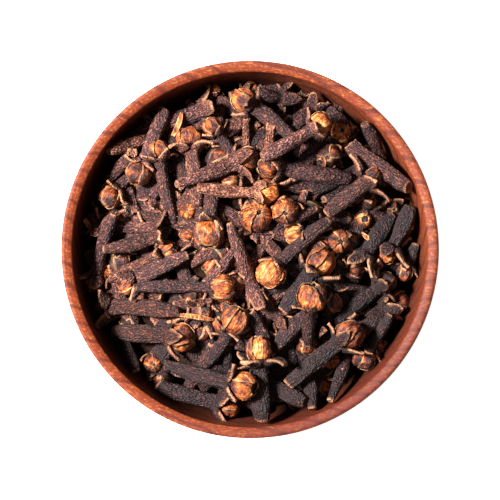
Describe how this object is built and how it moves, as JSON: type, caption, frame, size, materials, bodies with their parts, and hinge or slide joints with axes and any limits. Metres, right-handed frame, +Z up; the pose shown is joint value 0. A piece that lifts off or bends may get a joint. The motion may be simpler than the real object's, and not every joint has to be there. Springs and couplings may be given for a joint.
{
  "type": "bowl of whole cloves",
  "caption": "Small round turned wooden bowl with a narrow, nearly flat lip and a low foot, heaped with dried whole cloves that lie in every direction.",
  "frame": {"origin": "centre of the foot, on the surface that the bowl stands on", "axes": "+Z up out of the bowl; +X to the picture's right and +Y to its top, seen from straight above"},
  "size_m": [0.064, 0.064, 0.032],
  "materials": {
    "oiled_beech": "turned reddish-brown beech with a thin oil finish",
    "dried_clove": "matt wrinkled dark brown, with tan to orange-brown petal balls"
  },
  "bodies": {
    "root": {"bowl": "oiled_beech", "cloves": "dried_clove"}
  },
  "joints": []
}
